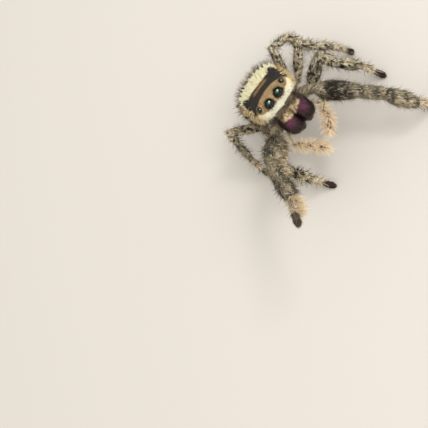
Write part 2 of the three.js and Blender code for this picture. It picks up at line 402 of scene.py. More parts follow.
def head_markings(points):
    x, y, z = head_space(points).T
    wide = np.abs(x)
    wander = 0.12 * blotches(points, 0.9 * MM, 3)
    base = Layers(points, "cheek")
    base.lay("tan", ramp(-0.2, -1.6, z + wander) * ramp(0.6, 1.6, y))
    # the face: fawn round the eyes, blush between them, ivory below
    face = 1 - ramp(0.75, 0.95, y + wander * 0.5)
    mottle = (0.84 + 0.22 * ramp(-0.4, 0.5, blotches(points, 0.28 * MM, 21)))[:, None]
    base.lay("fawn", face * ramp(-0.62, -0.3, z - 0.1 * wide), mottle)
    base.lay("blush", 0.8 * face * bump(0, 0.26, wide) * ramp(-0.9, -0.4, z) * (1 - ramp(0.2, 0.6, z)))
    spread = ramp(1.9, 2.5, wide)
    ivory = ramp(-0.36, -0.5, z - 0.06 * wide * wide - 0.35 * spread)
    ivory *= 1 - ramp(0.5, 1.4, y - 0.5 * spread)
    base.lay("ivory", ivory)
    base.lay("straw", ivory * ramp(1.7, 2.5, wide) * 0.7)
    # painted shadow: a dark line along the lower edge of the pale band, where it overhangs the jaws
    lip = ramp(-1.24, -1.34, z + 0.05 * wide) * (1 - ramp(0.8, 1.2, y))
    base.lay("soot", lip, 0.6)
    # the top: charcoal band with its umber patch, then cream, then grey down the back
    top = ramp(0.1, 0.4, z + wander)
    streaks = blotches(np.stack([x, 0.12 * y, 0.12 * z], 1) * MM, 0.15 * MM, 20)
    base.lay("cream", top * ramp(1.8, 2.1, y + wander))
    base.lay("tan", 0.75 * top * ramp(1.8, 2.4, y) * ramp(0.25, 0.55, streaks))
    flank = ramp(2.25, 2.6, wide) * ramp(2.2, 2.6, y) * ramp(-0.9, 0.2, z)
    base.lay("umber", 0.5 * flank)
    temple = ramp(2.35, 2.6, wide) * bump(1.6, 1.0, y) * ramp(-1.3, -0.5, z + 0.5 * wander)
    base.lay("umber", 0.3 * temple)
    rear_edge = 2.1 + 0.1 * wide + 0.3 * wander
    front_edge = 0.66 - 0.1 * wide + 0.3 * wander
    band = ramp(front_edge - 0.1, front_edge + 0.1, y) * (1 - ramp(rear_edge - 0.1, rear_edge + 0.1, y))
    base.lay("charcoal", band * ramp(-0.3, 0.0, z + 0.4 * wander))
    base.lay("umber", bump(0, 1.0, wide, 0.2) * bump(1.72, 0.2, y))
    base.lay("slate", ramp(4.6, 5.2, y + 2 * wander))
    base.lay("soot", ramp(-1.1, -1.6, z) * ramp(2.5, 4.0, y) * 0.5)
    # dark rims where the lenses sit
    for row, rim in zip(EYE_ROWS, EYE_RIMS):
        for side in SIDES:
            centre, radius = eye_place(row, side)
            distance = np.linalg.norm(points - centre, axis=1)
            base.lay("soot", 1 - ramp(radius + rim * 0.5 * MM, radius + rim * 2 * MM, distance), 0.5)
    return base.colours


def leg_markings(points, node):
    leg, part = node.rsplit("_", 1)
    share = GUIDES[node].read(points)[0]
    cells = blotches(points, 0.4 * MM, 11)
    grains = blotches(points, 0.18 * MM, 13)
    broad = blotches(points, 0.8 * MM, 12)
    foreleg, second = leg.startswith("leg1"), leg.startswith("leg2")
    dark_femur = second and part == "femur"
    base = Layers(points, "moss" if foreleg or dark_femur else "slate", 0.62 if dark_femur else 1)
    if part in ("femur", "patella", "tibia"):
        pale = 0.55 if foreleg else 0.45 if dark_femur else 0.95
        base.lay("beige", pale * ramp(-0.25, 0.35, broad + 0.4 * grains + 0.3 * (part == "patella")))
        net = 1 - ramp(0.1, 0.2, np.abs(cells + 0.3 * grains))
        net = np.maximum(net, ramp(0.6, 0.7, blotches(points, 0.26 * MM, 15)))
        base.lay("soot", (0.4 if foreleg else 0.98) * net)
        base.lay("soot", (0.25 + 0.25 * foreleg) * ramp(0.35, 0.8, -broad))
    if part == "femur" and foreleg:
        along = share + 0.07 * broad + 0.05 * grains
        patch = np.maximum(bump(0.45, 0.17, along), 0.75 * bump(0.72, 0.17, along))
        base.lay("soot", (0.95 if leg.endswith("left") else 0.5) * patch, 0.7)
    if part == "patella":
        base.lay("soot", 0.95 * ramp(0.91, 0.97, share))
    if part == "tibia":
        base.lay("soot", 0.9 * (1 - ramp(0.01, 0.06, share)))
        base.lay("soot", 0.85 * ramp(0.88, 0.95, share))
    if part == "metatarsus":
        base = Layers(points, "peach")
        base.lay("tan", 0.6 * ramp(-0.2, 0.6, broad) * (not foreleg))
        base.lay("soot", 0.75 * bump(0.5, 0.1, share + 0.06 * broad) * ramp(-0.3, 0.5, grains))
        base.lay("soot", 0.85 * ramp(0.82, 0.95, share + 0.05 * broad))
    if part == "tarsus":
        base = Layers(points, "boot", 0.35 if foreleg else 1)
        base.colours += palette()["moss"] * 0.35 * foreleg
        base.lay("soot", ramp(0.0, 0.8, broad), 0.6)
    return base.colours


def abdomen_markings(points):
    x, share, z = abdomen_space(points)
    wide = np.abs(x)
    wander = 0.025 * blotches(points, 0.6 * MM, 5)
    base = Layers(points, "ash")
    base.lay("soot", 0.4 * ramp(-0.1, 0.5, blotches(points, 0.4 * MM, 6)))
    upper = ramp(0.0, 0.3, z)
    dark = upper * bump(0.58, 0.4, share, 0.12) * (1 - ramp(0.62, 0.74, wide + wander))
    base.lay("soot", 0.9 * dark)
    heart = np.hypot(wide * 1.15 + 0.5 * (share - 0.42), (share - 0.45) * 1.7)
    base.lay("chalk", upper * (1 - ramp(0.19, 0.22, heart + wander)))
    for at, out, size in ((0.27, 0.42, 0.09), (0.66, 0.4, 0.12), (0.84, 0.3, 0.1)):
        spot = np.hypot((wide - out) * 0.75, (share - at - 0.2 * (wide - out)) * 1.4)
        base.lay("chalk", upper * (1 - ramp(size * 0.85, size * 1.1, spot + wander)))
    front_band = (1 - ramp(0.15, 0.2, share + wander)) * ramp(-0.6, -0.2, z)
    side_stripe = bump(0.84, 0.07, wide + wander) * bump(0.45, 0.3, share) * ramp(-0.4, 0.0, z)
    base.lay("chalk", np.maximum(front_band, 0.8 * side_stripe))
    return base.colours


def feeler_markings(points, node):
    share = GUIDES[node].read(points)[0]
    spots = blotches(points, 0.25 * MM, 8)
    base = Layers(points, "peach")
    base.lay("beige", 1 - ramp(0.2, 0.42, share))
    base.lay("olive", 0.8 * ramp(0.45, 0.7, spots))
    return base.colours


def markings(points, node):
    """The coat's colour at each point of one node."""
    if node == "head_shield":
        return head_markings(points)
    if node.startswith("leg"):
        return leg_markings(points, node)
    if node in ("abdomen", "spinnerets"):
        return abdomen_markings(points)
    if node.startswith("palp"):
        return feeler_markings(points, node)
    base = Layers(points, "slate", 0.55)
    base.lay("beige", 0.8 * ramp(0.1, 0.6, blotches(points, 0.3 * MM, 9)))
    return base.colours


def paint(mesh, colours):
    """Stores one colour per vertex for the materials to read."""
    layer = mesh.color_attributes.new("Markings", "FLOAT_COLOR", "POINT")
    values = np.ones((len(colours), 4), np.float32)
    values[:, :3] = colours
    layer.data.foreach_set("color", values.ravel())


# ---- materials -----------------------------------------------------------------------------
class Graph:
    """The shader nodes of one material."""

    def __init__(self, name):
        self.material = bpy.data.materials.new(name)
        self.material.use_nodes = True
        self.tree = self.material.node_tree
        self.tree.nodes.clear()
        self.output = self.add("OutputMaterial")
        self.place = self.add("TexCoord").outputs["Object"]

    def put(self, socket, value):
        if isinstance(value, bpy.types.NodeSocket):
            self.tree.links.new(value, socket)
        else:
            socket.default_value = value

    def add(self, kind, inputs=None, **settings):
        node = self.tree.nodes.new("ShaderNode" + kind)
        for key, value in settings.items():
            setattr(node, key, value)
        for key, value in (inputs or {}).items():
            self.put(node.inputs[key], value)
        return node

    def noise(self, size, detail):
        """A noise whose grains are size across, in metres."""
        inputs = {"Vector": self.place, "Scale": 1 / size, "Detail": detail}
        return self.add("TexNoise", inputs).outputs["Fac"]

    def spread(self, value, low, high, to_low=0.0, to_high=1.0):
        inputs = {"Value": value, "From Min": low, "From Max": high, "To Min": to_low, "To Max": to_high}
        return self.add("MapRange", inputs).outputs["Result"]

    def mix(self, factor, a, b, blend="MIX"):
        node = self.add("Mix", data_type="RGBA", blend_type=blend)
        for index, value in ((0, factor), (6, a), (7, b)):
            self.put(node.inputs[index], value)
        return node.outputs[2]

    def relief(self, height, distance, strength=1.0, normal=None):
        inputs = {"Height": height, "Distance": distance, "Strength": strength}
        if normal:
            inputs["Normal"] = normal
        return self.add("Bump", inputs).outputs["Normal"]

    def finish(self, **sockets):
        inputs = {key.replace("_", " "): value for key, value in sockets.items()}
        shader = self.add("BsdfPrincipled", inputs)
        self.tree.links.new(shader.outputs["BSDF"], self.output.inputs["Surface"])
        return self.material


def opaque(colour_value):
    return (*colour_value, 1.0)


def skin_material():
    """Skin under the coat: the markings, broken by fine grains, with a bump like flat hair."""
    g = Graph("spider_skin")
    marks = g.add("Attribute", attribute_name="Markings").outputs["Color"]
    grain = g.noise(0.05 * MM, 4)
    darkened = g.mix(1.0, marks, (0.55, 0.52, 0.5, 1), "MULTIPLY")
    base = g.mix(g.spread(grain, 0.35, 0.65), darkened, marks)
    hair = g.noise(0.03 * MM, 2)
    return g.finish(
        Base_Color=base,
        Roughness=g.spread(grain, 0.3, 0.7, 0.5, 0.75),
        Specular_IOR_Level=0.3,
        Normal=g.relief(hair, 0.012 * MM, 0.8, g.relief(grain, 0.02 * MM, 0.6)),
    )


def coat_material(name, roughness, sheen):
    """Hair: the markings with a fine streaky variation."""
    g = Graph(name)
    marks = g.add("Attribute", attribute_name="Markings").outputs["Color"]
    streak = g.noise(0.08 * MM, 3)
    darker = g.mix(1.0, marks, (0.6, 0.56, 0.5, 1), "MULTIPLY")
    base = g.mix(g.spread(streak, 0.3, 0.7, 0.0, 0.18), marks, darker)
    return g.finish(
        Base_Color=base,
        Roughness=g.spread(streak, 0.3, 0.7, roughness - 0.08, roughness + 0.08),
        Specular_IOR_Level=0.25,
        Sheen_Weight=sheen,
        Sheen_Roughness=0.4,
    )


def lens_material(name, centre, radius, outlook, glow):
    """A polished black lens; a glow in the middle of its outlook is painted reflection, and a pale glint
    above it is a painted highlight.
    """
    g = Graph(name)
    # painted reflection: the glow colour in a patchy ring round the middle of the outlook
    spot = Vector(centre) + Vector(outlook) * radius
    apart = g.add("VectorMath", {0: g.place, 1: spot}, operation="DISTANCE").outputs["Value"]
    cloud = g.noise(0.2 * MM, 2)
    ring = g.spread(apart, 0.12 * radius, 0.32 * radius, 1.0, 0.0)
    # painted highlight: a pale spot towards the small lamp, painted into the base colour
    glint = Vector(centre) + Vector(outlook).lerp(Vector(GLINT), 0.75).normalized() * radius
    near = g.add("VectorMath", {0: g.place, 1: glint}, operation="DISTANCE").outputs["Value"]
    patchy = g.add("Math", {0: ring, 1: g.spread(cloud, 0.3, 0.7, 0.7, 1.0)}, operation="MULTIPLY")
    base = g.mix(patchy.outputs["Value"], (0.004, 0.004, 0.004, 1), opaque(glow))
    base = g.mix(g.spread(near, 0.1 * radius, 0.17 * radius, 0.9, 0.0), base, (0.9, 0.98, 0.92, 1))
    return g.finish(
        Base_Color=base,
        Roughness=0.05,
        IOR=1.5,
        Normal=g.relief(g.noise(0.5 * MM, 1), 0.0008 * MM, 0.5),
    )


def jaw_material(c, side):
    """Glossy shell, orchid on its front and maroon at its edges: partly the shell's own purple, partly
    painted sheen where its iridescence shines on the front.
    """
    g = Graph(f"spider_jaw_shell_{side}")
    low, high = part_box(f"jaw_{side}")
    centre = (np.array(low) + np.array(high)) / 2
    front = HEAD_AXES @ np.array([0.0, -0.96, 0.2]) * 0.9 * MM
    spot = Vector(centre + front)
    apart = g.add("VectorMath", {0: g.place, 1: spot}, operation="DISTANCE").outputs["Value"]
    cloud = g.noise(0.35 * MM, 4)
    shift = g.spread(cloud, 0.2, 0.8, -0.35 * MM, 0.35 * MM)
    wander = g.add("Math", {0: apart, 1: shift}, operation="ADD")
    orchid, plum, maroon = (opaque(c[key]) for key in ("orchid", "plum", "maroon"))
    # painted sheen: orchid round a spot on the front, running through plum to maroon at the edges
    outer = g.mix(g.spread(wander.outputs["Value"], 0.55 * MM, 1.05 * MM), plum, maroon)
    base = g.mix(g.spread(wander.outputs["Value"], 0.15 * MM, 0.7 * MM), orchid, outer)
    wrinkles = g.noise(0.12 * MM, 5)
    return g.finish(
        Base_Color=base,
        Metallic=0.25,
        Roughness=g.spread(cloud, 0.3, 0.7, 0.28, 0.42),
        Coat_Weight=0.25,
        Coat_Roughness=0.15,
        Normal=g.relief(wrinkles, 0.02 * MM, 0.7),
    )


def horn_material():
    """Dark horn of the fangs and claws, broken by paler grain."""
    g = Graph("spider_horn")
    grain = g.noise(0.1 * MM, 4)
    base = g.mix(g.spread(grain, 0.35, 0.7), (0.02, 0.008, 0.007, 1), (0.09, 0.035, 0.022, 1))
    return g.finish(
        Base_Color=base,
        Roughness=g.spread(grain, 0.3, 0.7, 0.2, 0.35),
        Coat_Weight=0.6,
        Normal=g.relief(grain, 0.006 * MM, 0.6),
    )


# ---- skin ----------------------------------------------------------------------------------
def egg(name, middle, radii):
    """A smooth egg at a place in the head's frame; both are in millimetres."""
    bpy.ops.object.select_all(action="DESELECT")
    place = Vector(EYES_MIDDLE + HEAD_AXES @ np.array(middle) * MM)
    bpy.ops.mesh.primitive_uv_sphere_add(
        segments=24, ring_count=16, radius=MM, scale=radii, location=place, rotation=(-HEAD_PITCH, 0, 0)
    )
    piece = bpy.context.object
    piece.name = piece.data.name = name
    bpy.ops.object.transform_apply(location=True, rotation=True, scale=True)
    return piece


def grown_together(nodes, name, voxel, swell, smoothing, extras=()):
    """One closed mesh over copies of CAD nodes, swollen a little so that neighbours join."""
    copies = list(extras)
    for node in nodes:
        twin = bpy.data.objects.new(f"{name}_{node}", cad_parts[node].data.copy())
        bpy.context.scene.collection.objects.link(twin)
        copies.append(twin)
    bpy.ops.object.select_all(action="DESELECT")
    for twin in copies:
        twin.select_set(True)
    bpy.context.view_layer.objects.active = copies[0]
    if len(copies) > 1:
        bpy.ops.object.join()
    piece = copies[0]
    piece.name = piece.data.name = name
    piece.data.transform(Matrix.Scale(1 / MM, 4))
    in_edit_mode(piece, (bpy.ops.mesh.remove_doubles, {"threshold": 0.0005}))
    if swell:
        apply_modifier(piece, "DISPLACE", strength=swell, mid_level=0)
    apply_modifier(piece, "REMESH", mode="VOXEL", voxel_size=voxel)
    apply_modifier(piece, "SMOOTH", factor=0.5, iterations=smoothing)
    piece.data.transform(Matrix.Scale(MM, 4))
    piece.data.materials.clear()
    in_edit_mode(piece, (bpy.ops.mesh.normals_make_consistent, {"inside": False}))
    bpy.ops.object.shade_smooth()
    return piece


def mesh_arrays(mesh):
    """(vertices, normals, triangles) of a mesh as arrays."""
    count = len(mesh.vertices)
    points, normals = np.empty(count * 3, np.float32), np.empty(count * 3, np.float32)
    mesh.vertices.foreach_get("co", points)
    mesh.vertices.foreach_get("normal", normals)
    points, normals = (values.reshape(-1, 3).astype(float) for values in (points, normals))
    mesh.calc_loop_triangles()
    corners = np.empty(len(mesh.loop_triangles) * 3, np.int32)
    mesh.loop_triangles.foreach_get("vertices", corners)
    return points, normals, corners.reshape(-1, 3)


def nearest_nodes(points, nodes):
    """For each point, the index in nodes of the CAD node that lies nearest."""
    corners, faces, owners = [], [], []
    for index, node in enumerate(nodes):
        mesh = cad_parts[node].data
        mesh.calc_loop_triangles()
        start = len(corners)
        corners.extend(v.co / MM for v in mesh.vertices)
        faces.extend([start + i for i in t.vertices] for t in mesh.loop_triangles)
        owners.extend([index] * len(mesh.loop_triangles))
    tree = BVHTree.FromPolygons(corners, faces)
    return np.array([owners[tree.find_nearest(point)[2]] for point in points / MM])


# How deep the skin lies under the tips of the coat, in millimetres
COAT_DEPTH = {
    "head_shield": 0.12, "breast_plate": 0.1, "waist": 0.06, "abdomen": 0.16, "spinnerets": 0.08,
    "palp": 0.32, "femur": 0.14, "patella": 0.12, "tibia": 0.13, "metatarsus": 0.1, "tarsus": 0.08,
}
FORELEG_DEPTH = 1.4  # the forelegs are bushier
SWELL = 0.05  # how far the copies swell before they are joined, in millimetres
SKIN = {}


def coat_depth(node):
    kind = node.rsplit("_", 1)[-1] if node.startswith("leg") else node.split("_")[0]
    depth = COAT_DEPTH.get(node, COAT_DEPTH.get(kind))
    return depth * (FORELEG_DEPTH if node.startswith("leg1") and kind != "tarsus" else 1)


class SPIDER_OT_skin(bpy.types.Operator):
    """Grow one skin over head, body, feelers and legs"""

    bl_idname = "spider.skin"
    bl_label = "Skin"

    def execute(self, context):
        skin = grown_together(FLESH, "skin", voxel=0.1, swell=SWELL, smoothing=7)
        points = mesh_arrays(skin.data)[0]
        owner = nearest_nodes(points, FLESH)
        depth = np.array([coat_depth(node) for node in FLESH])[owner] + SWELL
        for row in EYE_ROWS:
            for side in SIDES:
                centre, radius = eye_place(row, side)
                distance = np.linalg.norm(points - centre, axis=1)
                depth *= ramp(radius + 0.06 * MM, radius + 0.3 * MM, distance)
        deepest = depth.max()
        group = skin.vertex_groups.new(name="coat_depth")
        for index, share in enumerate(depth / deepest):
            group.add([index], share, "REPLACE")
        apply_modifier(
            skin, "DISPLACE", strength=-deepest * MM, mid_level=0, vertex_group="coat_depth"
        )
        apply_modifier(skin, "SMOOTH", factor=0.4, iterations=2)
        skin.vertex_groups.clear()
        points, normals, triangles = mesh_arrays(skin.data)
        colours = np.zeros((len(points), 3))
        for index, node in enumerate(FLESH):
            mine = owner == index
            if mine.any():
                colours[mine] = markings(points[mine], node)
        paint(skin.data, colours)
        skin.data.materials.append(skin_material())
        SKIN.update(points=points, normals=normals, triangles=triangles, owner=owner)
        finish_piece(skin, "grey_hair", *FLESH)
        return {"FINISHED"}


# ---- tufts ---------------------------------------------------------------------------------
def roots_on(nodes, count, seed, where=None, surface=None):
    """Even random roots on the skin over some nodes: points, normals and their node's index."""
    data = surface or SKIN
    triangles = data["triangles"]
    rng = np.random.default_rng(seed)
    wanted = [FLESH.index(node) for node in nodes] if surface is None else [0]
    mine = np.isin(data["owner"][triangles[:, 0]], wanted)
    triangles = triangles[mine]
    corners = data["points"][triangles]
    weights = None
    if where is not None:
        weights = np.maximum(where(corners.mean(1), data["normals"][triangles].mean(1)), 0)
    points, chosen, shares = scattered(corners, count, rng, weights)
    normals = unit((data["normals"][triangles[chosen]] * shares[:, :, None]).sum(1))
    return points, normals, data["owner"][triangles[chosen, 0]]


def lie_on(directions, normals):
    """Directions laid into the surface."""
    return unit(directions - normals * dot(directions, normals)[:, None])


class Tufts:
    """Collects thin, closed, tapering tufts and makes one mesh of them."""

    PROFILES = {1: (0.85, 1.0), 2: (0.7, 1.0, 0.62), 3: (0.75, 1.0, 0.8, 0.5)}  # width at each ring
    PATCH = 0.003  # how wide a tuft's patch of the map is

    def __init__(self, name, rng):
        self.name, self.rng = name, rng
        self.points, self.faces, self.maps, self.colours = [], [], [], []
        self.count = 0

    def add(self, roots, normals, lie, places, colours, size, thick, lift, curl=0.3, bands=1,
            vary=0.25, jitter=0.35, flat=0.55, root=0.8, tip=1.0):
        """Adds one tuft at each root.

        size and thick are metres, lift is degrees off the skin, and curl bends back to it. root and
        tip are the brightness at the two ends, and vary is how much it differs between tufts.
        """
        n, rng = len(roots), self.rng
        lie = lie_on(unit(lie) + rng.normal(scale=jitter, size=(n, 3)), normals)
        rise = np.radians((lift * (1 + 0.3 * rng.normal(size=n))).clip(4, 88))[:, None]
        ahead = lie * np.cos(rise) + normals * np.sin(rise)
        across = unit(np.cross(ahead, normals) + 1e-9)
        above = np.cross(across, ahead)
        reach = np.broadcast_to(size, n) * rng.uniform(0.7, 1.25, n)
        half = np.broadcast_to(thick, n) / 2 * rng.uniform(0.75, 1.25, n)
        twist = rng.normal(scale=0.12, size=n)[:, None] * across
        back = (lie - normals) * curl + twist
        profile = self.PROFILES[bands]
        rings = []
        shares = [i / (bands + 0.9) for i in range(bands + 1)]
        for share, width in zip(shares, profile):
            middle = roots + reach[:, None] * (ahead * share + back * share * share * 0.5)
            if share == 0:
                middle = middle - normals * 0.015 * MM
            for side, rise_out in ((1, 0.35), (0, -0.65), (-1, 0.35)):
                out = across * side + above * rise_out * flat
                rings.append(middle + out * (half * width)[:, None])
        rings.append(roots + reach[:, None] * (ahead + back * 0.5))
        ring_count = (bands + 1) * 3 + 1
        points = np.stack(rings, 1).reshape(-1, 3)
        points[:, 2] = np.maximum(points[:, 2], 0.01 * MM)  # pressed flat where they reach the floor
        self.points.append(points)
        faces = []
        for band in range(bands):
            for corner in range(3):
                a, b = band * 3 + corner, band * 3 + (corner + 1) % 3
                faces += [(a, b, b + 3), (a, b + 3, a + 3)]
        last = bands * 3
        faces += [(last, last + 1, last + 3), (last + 1, last + 2, last + 3), (last + 2, last, last + 3)]
        faces.append((2, 1, 0))
        start = self.count + np.arange(n)[:, None, None] * ring_count
        self.faces.append((np.array(faces)[None] + start).reshape(-1, 3))
        self.count += n * ring_count
        spread = np.array(
            [((i % 3) / 2 - 0.5, shares[i // 3] - 0.5) for i in range(ring_count - 1)] + [(0, 0.5)]
        )
        self.maps.append((places[:, None] + spread[None] * self.PATCH).reshape(-1, 2))
        tone = np.exp(rng.normal(scale=vary, size=(n, 1, 1)))
        fade = np.array([root + (1 - root) * shares[i // 3] for i in range(ring_count - 1)] + [tip])
        self.colours.append((colours[:, None] * tone * fade[None, :, None]).clip(0, 0.98).reshape(-1, 3))

    def build(self, material, slot):
        points, faces = np.concatenate(self.points), np.concatenate(self.faces)
        mesh = bpy.data.meshes.new(self.name)
        mesh.from_pydata(points.tolist(), [], faces.tolist())
        layer = mesh.uv_layers.new(name="OFBake")
        places = np.concatenate(self.maps)[faces.ravel()]
        layer.uv.foreach_set("vector", places.astype(np.float32).ravel())
        paint(mesh, np.concatenate(self.colours))
        mesh.materials.append(material)
        piece = bpy.data.objects.new(self.name, mesh)
        bpy.context.scene.collection.objects.link(piece)
        make_active(piece)
        bpy.ops.object.shade_smooth_by_angle(angle=math.radians(50))
        finish_piece(piece, slot)
        return piece


def tube_map(share, angle, strip=0, strips=1):
    """The place on a limb's unrolled skin: one upright strip for each limb part."""
    across = (strip + 0.04 + 0.92 * (angle / (2 * math.pi) + 0.5)) / strips
    return np.stack([across, 0.02 + 0.96 * np.clip(share, 0, 1)], 1)


def how_many(base):
    return max(int(base * bpy.context.scene.spider_coat.density), 1)


# ---- coat of the head ----------------------------------------------------------------------
def head_vectors(x, y, z):
    """Directions given in the head's frame, turned to the model's."""
    parts = np.broadcast_arrays(x, y, z)
    return unit(np.stack(parts, -1).astype(float)) @ HEAD_AXES.T


def off_the_eyes(points, margin=0.02):
    """0 for roots inside a lens or its rim, otherwise 1."""
    clear = np.ones(len(points))
    for row in EYE_ROWS:
        for side in SIDES:
            centre, radius = eye_place(row, side)
            clear *= np.linalg.norm(points - centre, axis=1) > radius + margin * MM
    return clear


def head_roots(amount, seed, where, clear_eyes=False):
    """Roots on the head shield: points, normals, and x, y, z in the head's frame.

    where gives the weight of each place x, y, z.
    """

    def weight(points, normals):
        chosen = where(*head_space(points).T)
        return chosen * off_the_eyes(points) if clear_eyes else chosen

    roots, normals, _ = roots_on(["head_shield"], how_many(amount), seed=seed, where=weight)
    return roots, normals, *head_space(roots).T


def shell_map(x, y, z):
    """The place on the unrolled head shield."""
    turn = np.arctan2(x, z + 1.2) / (2 * math.pi) + 0.5
    return np.stack([turn, 0.02 + 0.96 * (y / 6.6)], 1).clip(0.01, 0.99)


class SPIDER_OT_face_coat(bpy.types.Operator):
    """Lay short hair round the eyes and the pale band below them"""

    bl_idname = "spider.face_coat"
    bl_label = "Face coat"

    def execute(self, context):
        coat = context.scene.spider_coat
        face = Tufts("coat_face", np.random.default_rng(21))
        roots, normals, x, y, z = head_roots(
            11500, seed=22, where=lambda x, y, z: y < FACE_EDGE, clear_eyes=True
        )
        left, right = (head_space(middle_of(f"eye_big_front_{side}")[None])[0] for side in SIDES)
        near = np.where((x > 0)[:, None], left, right)
        away_x, away_z = x - near[:, 0], z - near[:, 2]
        lower = ramp(-0.45, -0.75, z)
        lie = head_vectors(
            away_x * (1 - lower) - 0.15 * np.sign(x) * lower, 0.25,
            away_z * (1 - lower) + 0.35 * ramp(0.2, 0.6, z) - 1.0 * lower,
        )
        places = np.stack([x / 6.2 + 0.5, (z + 2.6) / 4.2], 1).clip(0.01, 0.99)
        longer = 1 + 0.9 * lower + 0.6 * ramp(1.8, 2.6, np.abs(x))
        face.add(roots, normals, lie, places, markings(roots, "head_shield"),
                 size=coat.face_length * longer, thick=0.05 * MM, lift=12, curl=0.2,
                 vary=0.1, jitter=0.25, root=0.95)
        face.build(coat_material("spider_face_hair", 0.65, 0.0), "cream_hair")
        return {"FINISHED"}


class SPIDER_OT_head_coat(bpy.types.Operator):
    """Lay hair over the top, the cheeks and the back of the head, with a row of dark bristles"""

    bl_idname = "spider.head_coat"
    bl_label = "Head coat"

    def execute(self, context):
        material = coat_material("spider_head_hair", 0.65, 0.0)
        for part, seed in ((self.top, 31), (self.sides, 41)):
            tufts = part(context.scene.spider_coat, palette(), np.random.default_rng(seed))
            tufts.build(material, "cream_hair")
        return {"FINISHED"}

    def top(self, coat, c, rng):
        top = Tufts("coat_crown", rng)
        roots, normals, x, y, z = head_roots(
            12800, seed=32, where=lambda x, y, z: (y >= FACE_EDGE) * (z > 0.2), clear_eyes=True
        )
        top.add(roots, normals, head_vectors(0.18 * x, 1.0, -0.1), shell_map(x, y, z),
                markings(roots, "head_shield"),
                size=coat.crown_length * (0.62 + 0.38 * ramp(1.8, 2.4, y)), thick=0.06 * MM,
                lift=10, curl=0.2, jitter=0.16, vary=0.13, root=0.95)

        # a row of dark points behind the pale zone
        row = [(x + 0.06 * math.sin(9 * x), 4.1 - 0.1 * x * x) for x in np.linspace(-2.2, 2.2, 12)]

        def on_row(x, y, z):
            return (z > -0.2) * (np.min([np.hypot(x - a, y - b) for a, b in row], axis=0) < 0.07)

        roots, normals, x, y, z = head_roots(150, seed=33, where=on_row)
        dark = np.tile(c["soot"] * 0.6, (len(roots), 1))
        top.add(roots, normals, head_vectors(0.2 * x, 1.0, 0.2), shell_map(x, y, z), dark,
                size=0.38 * MM, thick=0.07 * MM, lift=62, curl=0.2, bands=2, jitter=0.25, vary=0.4)

        # fine bright strands over the pale zone
        roots, normals, x, y, z = head_roots(
            1100, seed=35, where=lambda x, y, z: bump(3.15, 0.85, y, 0.12) * (z > 0.1) * (np.abs(x) < 2.5)
        )
        bright = mixed(c["ivory"], c["cream"], rng.random(len(roots)))
        top.add(roots, normals, head_vectors(0.15 * x, 1.0, 0.0), shell_map(x, y, z), bright,
                size=0.6 * MM, thick=0.05 * MM, lift=16, curl=0.2, bands=2,
                jitter=0.08, vary=0.08, tip=1.2)

        # bristles that fringe the rear rim, and a few among the rest
        def rim_mostly(x, y, z):
            return bump(4.7, 0.65, y, 0.1) * (z > -0.9) + 0.02 * (y > 0.8) * (z > 0.4)

        roots, normals, x, y, z = head_roots(620, seed=34, where=rim_mostly)
        tones = np.where(((rng.random(len(roots)) < 0.3) | (y < 3.6))[:, None], c["soot"], c["umber"])
        top.add(roots, normals, head_vectors(0.5 * x, 1.0, 1.2), shell_map(x, y, z), tones,
                size=coat.bristle_length * 1.1, thick=0.026 * MM, lift=66, curl=0.12, bands=2,
                jitter=0.35)
        return top

    def sides(self, coat, c, rng):
        low = Tufts("coat_cheeks", rng)
        roots, normals, x, y, z = head_roots(
            9500, seed=42, where=lambda x, y, z: (y >= FACE_EDGE) * (z <= 0.2), clear_eyes=True
        )
        lie, places = head_vectors(0.25 * np.sign(x), 0.75, -0.6), shell_map(x, y, z)
        size = coat.cheek_length * (0.75 + 0.25 * ramp(0.0, -1.4, z))
        low.add(roots, normals, lie, places, markings(roots, "head_shield"),
                size=size, thick=0.062 * MM, lift=18, curl=0.2, jitter=0.25, vary=0.15, root=0.9)
        fluffy = slice(0, how_many(900))
        low.add(roots[fluffy], normals[fluffy], lie[fluffy], places[fluffy],
                markings(roots[fluffy], "head_shield"), size=coat.cheek_length * 1.6,
                thick=0.04 * MM, lift=42, curl=0.25, bands=2, jitter=0.5)

        # fluff along the lower cheeks
        def lower_cheek(x, y, z):
            return bump(2.4, 1.9, y) * bump(-1.4, 0.8, z) * np.where(x < 0, 1.0, 0.5) * (np.abs(x) > 1.8)

        roots, normals, x, y, z = head_roots(1000, seed=43, where=lower_cheek)
        colours = blend_in(markings(roots, "head_shield"), c["umber"], rng.random(len(roots)) ** 3)
        low.add(roots, normals, head_vectors(np.sign(x), 0.15, -0.8), shell_map(x, y, z), colours,
                size=coat.cheek_length * 1.7, thick=0.045 * MM, lift=34, curl=0.25, bands=2, jitter=0.35)

        # pale whiskers on the temples
        def temples(x, y, z):
            return (np.abs(x) > 2.2) * bump(2.0, 1.2, y, 0.2) * bump(-0.5, 0.8, z)

        roots, normals, x, y, z = head_roots(1100, seed=44, where=temples, clear_eyes=True)
        colours = mixed(c["straw"], c["tan"], ramp(1.8, 2.8, y))
        colours = blend_in(colours, c["umber"], 0.6 * rng.random(len(roots)) ** 4)
        low.add(roots, normals, head_vectors(0.6 * np.sign(x), -0.1, -0.7), shell_map(x, y, z), colours,
                size=coat.cheek_length * 1.15, thick=0.05 * MM, lift=36, curl=0.25, bands=2, jitter=0.35)

        # sparse pale hair that hangs from the ends of the pale band
        def band_ends(x, y, z):
            return (y < 1.1) * bump(-1.1, 0.35, z) * bump(1.9, 0.7, np.abs(x), 0.2)

        roots, normals, x, y, z = head_roots(130, seed=45, where=band_ends)
        colours = mixed(c["ivory"], c["olive"], 0.7 * rng.random(len(roots)) ** 2)
        low.add(roots, normals, head_vectors(0.5 * np.sign(x), -0.2, -1.0), shell_map(x, y, z), colours,
                size=0.62 * MM, thick=0.055 * MM, lift=26, curl=0.2, bands=2, jitter=0.4)
        return low


# ---- coat of the body ----------------------------------------------------------------------
def belly_map(x, y):
    """The place on the underside, seen from below."""
    return np.stack([x / 7 + 0.5, y / 13 + 0.05], 1).clip(0.01, 0.99)


